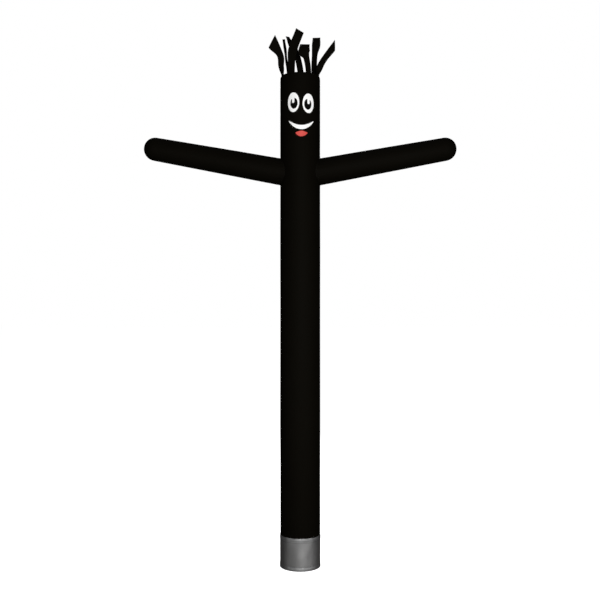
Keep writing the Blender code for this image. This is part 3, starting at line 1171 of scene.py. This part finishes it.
@dataclass(frozen=True)
class Streamer:
    """One loose strip of the fringe.

    The places its middle passes through are (x, height above the rim, width of the cloth).
    """

    azimuth: float  # where its root is sewn, in degrees from +X
    facets: int  # how many sixtieths of the ring its root takes
    back: float  # how far its tip leans back
    facing: float  # how far its tip's face is turned from the front, in degrees
    slant: float  # of its cut end, in degrees
    through: tuple[Triple, ...]
    ripple: float = 2.0 * MM  # height of the waves that the wind leaves in it
    waves: float = 11.0  # how far they run, in radians
    twist: float = 1.6  # how much more its edges flutter, in ripples
    twists: float = 17.0  # how far the flutter runs, in radians

    turned_by: float = 0.55  # share of the strip at which it faces its tip's way
    bow_kept: float = 0.4  # how much of its root's curve is left at its tip
    slant_from: float = 0.6  # share of the strip from which its edges lead to the slanted end
    tip_pull: float = 0.9  # how straight its last stretch runs

    def along(self, points: Sequence[Vector], share: float) -> Spot:
        """A smooth line through points.

        Args:
            points: the places it passes through.
            share: how far along it.

        Returns:
            The place there and the line's direction.
        """
        spans = len(points) - 1
        span = min(int(share * spans), spans - 1)
        t = share * spans - span
        before, start, end, after = (points[min(max(span + k, 0), spans)] for k in (-1, 0, 1, 2))
        leave = (end - before) / 2 if span else (end - start).length * Vector((0, 0, 1))
        arrive = (after - start) / 2 if span < spans - 1 else (end - start) * self.tip_pull
        bend, close = (end - start) * 3 - leave * 2 - arrive, leave + arrive - (end - start) * 2
        point = start + leave * t + bend * t * t + close * t**3
        return point, (leave + bend * 2 * t + close * 3 * t * t).normalized()

    def rows(self, root: Sequence[Vector], steps: int) -> list[list[Vector]]:
        """Lines of points across the streamer, from its root up.

        Args:
            root: the band's points that it grows from.
            steps: how many lines it has.

        Returns:
            The lines, the root's own left out.
        """
        count = len(root) - 1
        start = (root[0] + root[-1]) / 2
        outward = Vector((start.x, start.y, 0)).normalized()
        bulge = BAND_RADIUS * (1 - cos(self.facets * pi / 60))
        rim = start.z
        top = self.through[-1][1]
        middles, widths = [start], [(root[-1] - root[0]).length]
        for x, z, width in self.through:
            middles.append(Vector((x, start.y + self.back * (z / top) ** 2, rim + z)))
            widths.append(width)
        root_azimuth = self.azimuth + 90
        turn_by = (self.facing - root_azimuth + 90) % 180 - 90
        spans = len(self.through)
        lines = []
        for share in spread(0.0, 1.0, steps)[1:]:
            middle, along = self.along(middles, share)
            across = ring_point(1.0, radians(root_azimuth + turn_by * ease(share / self.turned_by)))
            across = (across - along * across.dot(along)).normalized()
            face = across.cross(along).normalized()
            span = min(int(share * spans), spans - 1)
            width = widths[span] + (widths[span + 1] - widths[span]) * ease(share * spans - span)
            bow = outward * bulge * (1 - (1 - self.bow_kept) * share)
            slanted = ease((share - self.slant_from) / (1 - self.slant_from)) * (1 if across.x > 0 else -1)
            slant = tan(radians(self.slant)) * slanted
            wave = self.ripple * ease(share / 0.3) * sin(share * self.waves + self.azimuth)
            flutter = self.twist * self.ripple * ease(share / 0.4)
            line = []
            for k in range(count + 1):
                off = k / count - 0.5
                lift = face * (wave + flutter * off * sin(share * self.twists + self.facing))
                end_cut = along * (off * width * slant)
                line.append(middle + across * (off * width) + bow * (1 - 4 * off * off) + end_cut + lift)
            lines.append(line)
        return lines

    @property
    def lengths(self) -> list[float]:
        """Cloth from each place that its middle passes through to the next."""
        places = [(0.0, 0.0)] + [(x - self.through[0][0], z) for x, z, _ in self.through]
        return [hypot(xb - xa, zb - za) for (xa, za), (xb, zb) in zip(places, places[1:])]

    @property
    def flat_area(self) -> float:
        """Area of the strip's cloth."""
        widths = [self.through[0][2]] + [width for _, _, width in self.through]
        stretches = zip(self.lengths, widths, widths[1:])
        return sum(length * (low + high) / 2 for length, low, high in stretches)


STREAMERS = (
    Streamer(198, 4, -0.045, 8, 30,
             ((-0.216, 0.104, 0.068), (-0.228, 0.227, 0.076), (-0.322, 0.374, 0.140))),
    Streamer(129, 2, 0.020, 234, 16,
             ((-0.156, 0.201, 0.040), (-0.174, 0.344, 0.053), (-0.191, 0.490, 0.056))),
    Streamer(87, 3, -0.012, 214, -21,
             ((-0.018, 0.240, 0.077), (-0.076, 0.386, 0.111), (-0.150, 0.525, 0.050))),
    Streamer(242, 4, 0.020, 4, -11,
             ((-0.098, 0.128, 0.085), (-0.082, 0.266, 0.102), (-0.003, 0.478, 0.099))),
    Streamer(295, 3, -0.010, -6, 3,
             ((0.071, 0.153, 0.068), (0.045, 0.232, 0.131), (0.052, 0.313, 0.108))),
    Streamer(40.5, 4, 0.013, 190, 9,
             ((0.166, 0.273, 0.066), (0.184, 0.405, 0.099), (0.189, 0.497, 0.091))),
    Streamer(342, 4, -0.015, -10, -50,
             ((0.214, 0.074, 0.072), (0.277, 0.191, 0.072), (0.394, 0.338, 0.083))),
)


@dataclass
class Hair:
    """The fringe: an uncut strip sewn in round the crown, cut up into loose streamers."""

    tube_top: float
    streamers: tuple[Streamer, ...] = STREAMERS
    shows: float = 8 * MM  # how much of the uncut band shows
    split: int = 4  # columns in a sixtieth of the ring
    steps: int = 60

    def grow(self, hair: Piece) -> None:
        """Grows the streamers from the band's top edge.

        Args:
            hair: the band.
        """
        columns, rim = 60 * self.split, self.tube_top + self.shows
        cloth = bmesh.new()
        cloth.from_mesh(hair.data)
        layer = cloth.loops.layers.uv[UV_NAME]
        edge = [vertex for vertex in cloth.verts if vertex.co.z > rim - MM]
        edge.sort(key=lambda vertex: polar(vertex.co)[0] % FULL_TURN)
        for streamer in self.streamers:
            count = streamer.facets * self.split
            first = round(streamer.azimuth / 360 * columns - count / 2)
            below = [edge[(first + k) % columns] for k in range(count + 1)]
            rise = rim
            for line in streamer.rows([vertex.co.copy() for vertex in below], self.steps):
                above = [cloth.verts.new(point) for point in line]
                step = (line[count // 2] - below[count // 2].co).length
                width = (line[-1] - line[0]).length
                for k in range(count):
                    face = cloth.faces.new((below[k], below[k + 1], above[k + 1], above[k]))
                    corners = ((k, rise), (k + 1, rise), (k + 1, rise + step), (k, rise + step))
                    for loop, (across, up) in zip(face.loops, corners):
                        loop[layer].uv = (across / count * width, up)
                below = above
                rise += step
        bmesh.ops.recalc_face_normals(cloth, faces=cloth.faces)
        cloth.to_mesh(hair.data)
        cloth.free()

    def build(self, finish: Material) -> None:
        """Makes the fringe.

        Args:
            finish: its cloth.
        """
        heights = (self.tube_top - ALLOWANCE, self.tube_top, self.tube_top + self.shows)
        hair = new_shell("hair_cloth", [(BAND_RADIUS, height) for height in heights], 60 * self.split)
        unroll(hair, BAND_RADIUS, 0.0)
        self.grow(hair)
        thicken(hair, NYLON, 0.0)
        smooth(hair, SOFT_EDGE)
        band = FULL_TURN * BAND_RADIUS
        longest = ALLOWANCE + self.shows + max(sum(s.lengths) for s in self.streamers)
        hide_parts("hair")
        band * (ALLOWANCE + self.shows) + sum(s.flat_area for s in self.streamers)
        dress(hair, finish, Slot.RIPSTOP)


# ---- Arms ----


@dataclass
class Arm:
    """A tapered sleeve with a gathered round tip and a seam along its underside."""

    line: ArmLine
    columns: int = 112
    rows: int = 84
    tip_rows: int = 14
    seam: FelledSeam = FelledSeam(5.0 * MM, 0.9 * MM, 2.0 * MM, 1.6 * MM, 0.025, 0.017, 6.0)
    root_gathers: Gathers = Gathers(4.5 * MM, 23, reach=0.09, start=0.02)
    tip_gathers: Gathers = Gathers(3.4 * MM, 19, reach=0.07, start=0.03, hold=0.09)
    slackest: float = 1.3 * MM  # how far the cloth between its seams stands in
    root_row: float = 8 * MM  # from the saddle to the row of stitches round the root
    seam_from: float = 12 * MM  # from the saddle to where the seam's own rows start

    @property
    def under(self) -> float:
        """Angle round the arm of its underside, where the seam runs."""
        return 0.0 if self.line.side is Side.LEFT else pi

    def outline(self) -> list[Place]:
        """(radius, distance along) of the rings, from the root to just off the tip's pole."""
        start, end, tip = self.line.side_start, self.line.tip_start, self.line.tip_radius
        rings = [(self.line.radius(along), along) for along in spread(start, end, self.rows)]
        for turned in spread(0.0, pi / 2, self.tip_rows)[1:-1]:
            rings.append((tip * cos(turned), end + tip * sin(turned)))
        return rings + [(0.4 * MM, end + tip)]

    def slack(self, turn: float, from_seam: float, from_tip: float) -> float:
        """How far the cloth stands inside the plain sleeve.

        Args:
            turn: angle round the arm.
            from_seam: distance from the seam at the tube.
            from_tip: distance back from the tip's pole.

        Returns:
            The depth in metres; less than nothing on the raised seam.
        """
        seed = 20.0 + self.line.side.value
        depth = self.root_gathers.at(turn, from_seam, seed)
        depth += self.slackest * billow(turn, 1.4, from_seam * 2.2 + seed)
        depth += self.tip_gathers.at(turn, from_tip, seed + 3)
        depth *= ease(from_seam / 0.02)
        off = abs(turn_from(turn, self.under)) * self.line.root_radius
        return self.seam.fell(depth, off, from_seam, seed, ease(from_seam / 0.01) * ease(from_tip / 0.02))

    def shaped(self, point: Vector) -> Vector:
        """Where a point of the plain sleeve lies on the sewn and blown-up one.

        Args:
            point: on the plain sleeve, along +Z.

        Returns:
            Its place, still along +Z.
        """
        line = self.line
        (turn, radius), along = polar(point), point.z
        saddle = line.saddle(turn, GAP)
        if along <= line.tip_start:
            share = (along - line.side_start) / (line.tip_start - line.side_start)
            along = saddle + (line.tip_start - saddle) * share
            radius = line.radius(along)
        from_tip = line.tip_radius * acos(min(max((along - line.tip_start) / line.tip_radius, 0.0), 1.0))
        from_tip += max(line.tip_start - along, 0.0)
        radius -= self.slack(turn, along - saddle, from_tip) * min(radius / 0.02, 1.0)
        return ring_point(radius, turn, along)

    def trim(self, arm: Piece) -> None:
        """Slides the inner edge of the root back onto the saddle, so that it stays clear of the tube.

        Args:
            arm: the thickened sleeve, still along +Z.
        """
        for vertex in arm.data.vertices:
            if vertex.co.z - self.line.saddle(polar(vertex.co)[0], GAP) < 3 * MM:
                for _ in range(8):
                    vertex.co.z += max(self.line.inside(vertex.co, GAP), 0.0) * 0.9
        arm.data.update()

    def build(self, finish: Material, thread: Material) -> None:
        """Makes the arm and its sewing.

        Args:
            finish: the arm's cloth.
            thread: its thread.
        """
        line = self.line
        node = f"arm_{line.side.word}"
        arm = new_shell(f"{node}_cloth", self.outline(), self.columns, close_end=True)
        unroll(arm, line.root_radius, self.under)
        move_points(arm, self.shaped)
        thicken(arm, NYLON)
        self.trim(arm)
        place(arm, line.matrix)
        smooth(arm, SOFT_EDGE)
        sleeve = line.tip_start - line.side_start
        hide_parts(node)
        dress(arm, finish, Slot.RIPSTOP)
        self.sew(thread)

    def spot(self, turn: float, along: float, radius: float) -> Spot:
        """A place on the arm, and which way its cloth faces there."""
        matrix = self.line.matrix
        return matrix @ ring_point(radius, turn, along), matrix.to_3x3() @ ring_point(1.0, turn)

    def sew(self, thread: Material) -> None:
        """Sews the row round the arm's root and the two rows along its seam.

        Args:
            thread: the thread's finish.
        """
        sewing = Sewing(f"arm_{self.line.side.word}_stitching")
        root = []
        for turn in spread(0.0, FULL_TURN, self.columns):
            along = self.line.saddle(turn, GAP) + self.root_row
            radius = self.line.radius(along) - self.slack(turn, self.root_row, 1.0)
            root.append(self.spot(turn, along, radius))
        sewing.row(root)
        for side in (-1, 1):
            turn = self.under + side * (self.seam.half - self.seam.row) / self.line.root_radius
            start = self.line.saddle(turn, GAP) + self.seam_from
            alongs = spread(start, self.line.tip_start, self.rows)
            sewing.row([self.spot(turn, a, self.line.radius(a) + self.seam.rise) for a in alongs])
        sewing.finish(thread, Slot.RIPSTOP)


# ---- Face ----


def oval(half_width: float, half_height: float, points: int, start: float = 0.0,
         sweep: float = FULL_TURN) -> list[Place]:
    """Points of an ellipse or of an arc of it.

    Args:
        half_width: of the whole ellipse.
        half_height: of the whole ellipse.
        points: how many.
        start: angle of the first point.
        sweep: angle to the last; a full turn leaves out the point that repeats the first.

    Returns:
        The points, against the clock.
    """
    steps = points if sweep == FULL_TURN else points - 1
    angles = [start + sweep * i / steps for i in range(points)]
    return [(half_width * cos(a), half_height * sin(a)) for a in angles]


def arch(x: float, half_width: float) -> float:
    """A plain arch: 1 in the middle of its width and 0 at its ends."""
    return 1 - (x / half_width) ** 2


def smile_outline(half_width: float, sag: float, half_height: float) -> list[Place]:
    """A band with round ends, thickest in its middle, which sags below its corners."""
    return [(x, z - sag * arch(x, half_width)) for x, z in oval(half_width, half_height, 96)]


def lip_outline(half_width: float, rise: float, sag: float) -> list[Place]:
    """A pointed lens: an arc that rises and one that sags between the same corners.

    Args:
        half_width: from the middle to a corner.
        rise: of the upper arc.
        sag: of the lower arc.

    Returns:
        The points, against the clock.
    """
    across = [half_width * (i / 16 - 1) for i in range(33)]
    lower, upper = ([(x, height * arch(x, half_width)) for x in across] for height in (-sag, rise))
    return lower + upper[-2:0:-1]


def pupil_outline(half_width: float, half_height: float, glint: Place, depth: float) -> list[Place]:
    """An oval with a round-ended notch cut down into it from the top, for the glint.

    Args:
        half_width: of the oval.
        half_height: of the oval.
        glint: (place of the notch's middle across the oval, half its width).
        depth: of the notch.

    Returns:
        The points, against the clock.
    """
    middle, half = glint
    left, right = acos((middle - half) / half_width), acos((middle + half) / half_width) + FULL_TURN
    rim = oval(half_width, half_height, 80, left, right - left)
    end_centre = half_height - depth + half
    return rim + [(middle + x, end_centre + z) for x, z in oval(half, half, 17, 0.0, -pi)]


def even_points(outline: Sequence[Place], pitch: float) -> list[Vector]:
    """Points at even steps round a closed outline.

    Args:
        outline: its corners.
        pitch: about how far apart the points are.

    Returns:
        The points.
    """
    corners = [Vector(point) for point in outline]
    sides = list(zip(corners, corners[1:] + corners[:1]))
    whole = sum((b - a).length for a, b in sides)
    count = round(whole / pitch)
    points, run, next_at = [], 0.0, 0.0
    for a, b in sides:
        length = (b - a).length
        while len(points) < count and next_at <= run + length:
            points.append(a.lerp(b, (next_at - run) / length))
            next_at = whole * len(points) / count
        run += length
    return points


@dataclass
class Patch:
    """One patch of the face, cut flat, wrapped round the tube and sewn down with a zigzag."""

    node: str
    outline: list[Place]
    across: float  # from the front's middle line, round the tube
    height: float
    layer: int  # patches that lie under it
    slot: Slot
    cloth: float = 1.0 * MM
    strip: float = 5.0 * MM  # width of the strips that its mesh is cut into, to follow the tube
    zigzag: float = 2.6 * MM  # from stitch to stitch
    inside: float = 2.4 * MM  # how far in from the edge the zigzag reaches
    outside: float = 1.3 * MM

    @property
    def under(self) -> float:
        """How far out from the tube's cloth the patch's own cloth starts."""
        return GAP + self.layer * (self.cloth + GAP)

    def turn(self, x: float) -> float:
        """Angle round the tube, from the front, of a place across the flat patch."""
        return (self.across + x) / TUBE_RADIUS

    def wrapped(self, x: float, z: float, out: float) -> Vector:
        """The place on the tube of a point of the flat patch, and so far out from the tube's cloth."""
        turn, radius = self.turn(x), TUBE_RADIUS + out
        return Vector((radius * sin(turn), -radius * cos(turn), self.height + z))

    def build(self, finish: Material, carrier: str) -> None:
        """Makes the patch.

        Args:
            finish: its cloth.
            carrier: not used.
        """
        curve = bpy.data.curves.new(self.node, "CURVE")
        curve.dimensions = "2D"
        curve.fill_mode = "BOTH"
        spline = curve.splines.new("POLY")
        spline.points.add(len(self.outline) - 1)
        for point, (x, z) in zip(spline.points, self.outline):
            point.co = (x, z, 0, 1)
        spline.use_cyclic_u = True
        patch = bpy.data.objects.new(f"{self.node}_patch", curve)
        link(patch)
        only(patch)
        bpy.ops.object.convert(target="MESH")
        patch = bpy.context.object
        across, up = zip(*self.outline)
        reaches = [max(abs(value) for value in values) for values in (across, up)]
        with editing(patch):
            bpy.ops.mesh.remove_doubles(threshold=MERGE)
            for reach, square in zip(reaches, (Vector((1, 0, 0)), Vector((0, 1, 0)))):
                cuts = int(reach / self.strip)
                for k in range(-cuts, cuts + 1):
                    bpy.ops.mesh.select_all(action="SELECT")
                    bpy.ops.mesh.bisect(plane_co=square * (k * self.strip), plane_no=square)
            bpy.ops.mesh.select_all(action="SELECT")
            bpy.ops.mesh.normals_make_consistent(inside=False)
        if patch.data.polygons[0].normal.z < 0:
            patch.data.flip_normals()
        map_cloth(patch, lambda p: (p.x, p.y))
        move_points(patch, lambda p: self.wrapped(p.x, p.y, self.under + self.cloth))
        thicken(patch, self.cloth)
        smooth(patch)
        flat = (2 * reaches[0], max(up) - min(up))
        corners = zip(self.outline, self.outline[1:] + self.outline[:1])
        area = abs(sum(xa * zb - xb * za for (xa, za), (xb, zb) in corners)) / 2
        enough = area >= 0.3 * flat[0] * flat[1]
        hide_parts(self.node)
        dress(patch, finish, self.slot)

    def sew(self, sewing: Sewing) -> None:
        """Adds the zigzag that holds the patch's edge down.

        Args:
            sewing: the stitches to add to.
        """
        points = even_points(self.outline, self.zigzag)
        inner, outer = [], []
        for before, here, after in zip(points[-1:] + points[:-1], points, points[1:] + points[:1]):
            along = (after - before).normalized()
            off = Vector((along.y, -along.x))
            within, beyond = here - off * self.inside, here + off * self.outside
            out = Vector((sin(self.turn(here.x)), -cos(self.turn(here.x)), 0))
            inner.append(self.wrapped(within.x, within.y, self.under + self.cloth))
            outer.append((self.wrapped(beyond.x, beyond.y, self.under + 0.2 * MM), out))
        sewing.zigzag(inner, outer)


@dataclass
class Face:
    """Two eyes with pupils, a smile and a lip: plain ovals and arcs, patched on the front of the tube."""

    turned: float = 7.6 * MM  # the whole face sits this far to the dancer's left
    eye_across: float = 86.6 * MM
    eye_height: float = 5.2404
    eye_half: Place = (68.0 * MM, 109.0 * MM)
    eye_drop: float = 5.3 * MM
    pupil_inward: float = 7.3 * MM
    pupil_down: float = 11.0 * MM
    pupil_half: Place = (42.3 * MM, 60.0 * MM)
    glint: Place = (7.8 * MM, 15.0 * MM)
    glint_depth: float = 58 * MM
    mouth_turned: float = 13.0 * MM
    smile_height: float = 5.0390
    smile_size: tuple[float, float, float] = (146.5 * MM, 73.0 * MM, 23.5 * MM)
    lip_height: float = 4.9030
    lip_size: tuple[float, float, float] = (71.0 * MM, 23.0 * MM, 41.0 * MM)

    def patches(self) -> list[tuple[Patch, str]]:
        """The patches from the lowest layer up, each with the piece that it is sewn on."""
        made: list[tuple[Patch, str]] = []
        for side in Side:
            sign, word = side.value, side.word
            across = self.turned + sign * self.eye_across
            height = self.eye_height - sign * self.eye_drop
            white = oval(*self.eye_half, 96)
            made.append((Patch(f"eye_{word}", white, across, height, 0, Slot.WHITE), "tube_cloth"))
            glint = (sign * self.glint[0], self.glint[1])
            black = pupil_outline(*self.pupil_half, glint, self.glint_depth)
            across, height = across - sign * self.pupil_inward, height - self.pupil_down
            made.append((Patch(f"pupil_{word}", black, across, height, 1, Slot.BLACK), f"eye_{word}_patch"))
        smile, lip = smile_outline(*self.smile_size), lip_outline(*self.lip_size)
        for node, outline, height, slot in (("smile", smile, self.smile_height, Slot.WHITE),
                                            ("lip", lip, self.lip_height, Slot.RED)):
            made.append((Patch(node, outline, self.mouth_turned, height, 0, slot), "tube_cloth"))
        return made

    def build(self, finishes: dict[Slot, Material], threads: dict[Slot, Material]) -> None:
        """Makes the patches and their zigzags.

        Args:
            finishes: the cloth for each slot.
            threads: the thread for each slot.
        """
        sewings = {slot: Sewing(f"face_stitching_{slot.name.lower()}", 0.8 * MM) for slot in finishes}
        for patch, carrier in self.patches():
            patch.build(finishes[patch.slot], carrier)
            patch.sew(sewings[patch.slot])
        for slot, sewing in sewings.items():
            sewing.finish(threads[slot], slot)


# ---- Studio ----


@dataclass(frozen=True)
class Lamp:
    """A soft square light."""

    name: str
    stands_at: tuple[float, float, float]
    aims_at: tuple[float, float, float]
    size: float
    power: float

    def build(self) -> None:
        """Makes the light."""
        light = bpy.data.lights.new(self.name, "AREA")
        light.shape = "SQUARE"
        light.size = self.size
        light.energy = self.power
        lamp = bpy.data.objects.new(self.name, light)
        lamp.location = self.stands_at
        aim = Vector(self.aims_at) - Vector(self.stands_at)
        lamp.rotation_euler = aim.to_track_quat("-Z", "Y").to_euler()
        link(lamp)


@dataclass
class Studio:
    """A plain white floor, soft light and the camera, level and square to the dancer."""

    eye: tuple[float, float, float] = (-0.0027, -9.5, 3.035)
    lens: float = 49.83
    sensor: float = 36.0
    floor_size: float = 160.0
    ambient: float = 0.004
    lamps: tuple[Lamp, ...] = (
        Lamp("key", (0.9, -9.0, 3.6), (0, 0, 3.0), 1.6, 720.0),
        Lamp("fill_left", (-5.0, -4.0, 2.0), (0, 0, 1.4), 2.0, 70.0),
        Lamp("fill_right", (5.0, -4.0, 2.0), (0, 0, 1.4), 2.0, 125.0),
        Lamp("back", (0.0, 7.0, 6.0), (0, 0, 3.0), 3.0, 600.0),
        Lamp("top", (0.0, 0.0, 11.0), (0, 0, 0.0), 6.0, 60.0),
    )

    def floor(self) -> None:
        """Makes the pale floor."""
        bpy.ops.object.select_all(action="DESELECT")
        bpy.ops.mesh.primitive_plane_add(size=self.floor_size, location=(0, 0, -0.2 * MM))
        ground = bpy.context.object
        ground.name = "floor"
        recipe = Recipe("floor_white")
        soft = recipe.mottle(0.7, detail=2.0)
        recipe.set(
            Base_Color=recipe.blend(soft, (0.88, 0.88, 0.88), (0.92, 0.92, 0.92)),
            Roughness=0.75,
            Specular_IOR_Level=0.1,
            Emission_Color=(1.0, 1.0, 1.0),
            Emission_Strength=1.0,
        )
        ground.data.materials.append(recipe.material)
        ground.visible_diffuse = False
        ground.visible_glossy = False

    def world(self) -> None:
        """Makes the surroundings: white to look at, and dim as a light."""
        surroundings = bpy.data.worlds.new("studio")
        surroundings.use_nodes = True
        bpy.context.scene.world = surroundings
        tree = surroundings.node_tree
        dim = tree.nodes["Background"]
        dim.inputs["Color"].default_value = (1, 1, 1, 1)
        dim.inputs["Strength"].default_value = self.ambient
        bright = tree.nodes.new("ShaderNodeBackground")
        bright.inputs["Color"].default_value = (1, 1, 1, 1)
        bright.inputs["Strength"].default_value = 1.0
        rays, choice = tree.nodes.new("ShaderNodeLightPath"), tree.nodes.new("ShaderNodeMixShader")
        tree.links.new(rays.outputs["Is Camera Ray"], choice.inputs[0])
        tree.links.new(dim.outputs[0], choice.inputs[1])
        tree.links.new(bright.outputs[0], choice.inputs[2])
        tree.links.new(choice.outputs[0], tree.nodes["World Output"].inputs["Surface"])

    def camera(self) -> None:
        """Makes the camera."""
        view = bpy.data.cameras.new("camera")
        view.lens = self.lens
        view.sensor_width = self.sensor
        view.clip_end = 200.0
        camera = bpy.data.objects.new("camera", view)
        camera.location = self.eye
        camera.rotation_euler = (pi / 2, 0, 0)
        link(camera)
        bpy.context.scene.camera = camera

    def build(self) -> None:
        """Makes the whole studio, shown in plain colours, so that its white is white."""
        bpy.context.scene.view_settings.view_transform = "Standard"
        self.floor()
        self.world()
        for lamp in self.lamps:
            lamp.build()
        self.camera()


def main() -> None:
    """Builds the dancer's pieces from the floor up, and then the studio."""
    logging.basicConfig(level=logging.INFO, format="%(message)s")
    ripstop = Ripstop("black_ripstop_nylon").material()
    black_thread = Thread("black_thread", (0.006, 0.006, 0.006), (0.015, 0.015, 0.015)).material()
    collar = Collar()
    coated = CoatedCloth("silver_coated_nylon", collar.height, collar.hem).material()
    grey_thread = Thread("grey_thread", (0.16, 0.16, 0.16), (0.09, 0.09, 0.09)).material()
    collar.build(coated, grey_thread)

    lines = [ArmLine(side) for side in Side]
    tube = Tube(lines)
    tube.build(ripstop, black_thread)
    Crown(tube.top).build(ripstop)
    Hair(tube.top).build(ripstop)
    for line in lines:
        Arm(line).build(ripstop, black_thread)

    white = PatchCloth("white_satin_nylon", (0.96, 0.96, 0.95), (0.90, 0.90, 0.88))
    black = PatchCloth("black_satin_nylon", (0.0022, 0.0020, 0.0018), (0.0040, 0.0038, 0.0034), 0.02)
    red = PatchCloth("red_satin_nylon", (0.64, 0.066, 0.050), (0.50, 0.046, 0.036))
    white_thread = Thread("white_thread", (0.86, 0.86, 0.84), (0.70, 0.70, 0.68)).material()
    red_thread = Thread("red_thread", (0.70, 0.07, 0.05), (0.50, 0.04, 0.03)).material()
    finishes = {Slot.WHITE: white.material(), Slot.BLACK: black.material(), Slot.RED: red.material()}
    Face().build(finishes, {Slot.WHITE: white_thread, Slot.BLACK: black_thread, Slot.RED: red_thread})
    Studio().build()


if __name__ == "__main__":
    main()
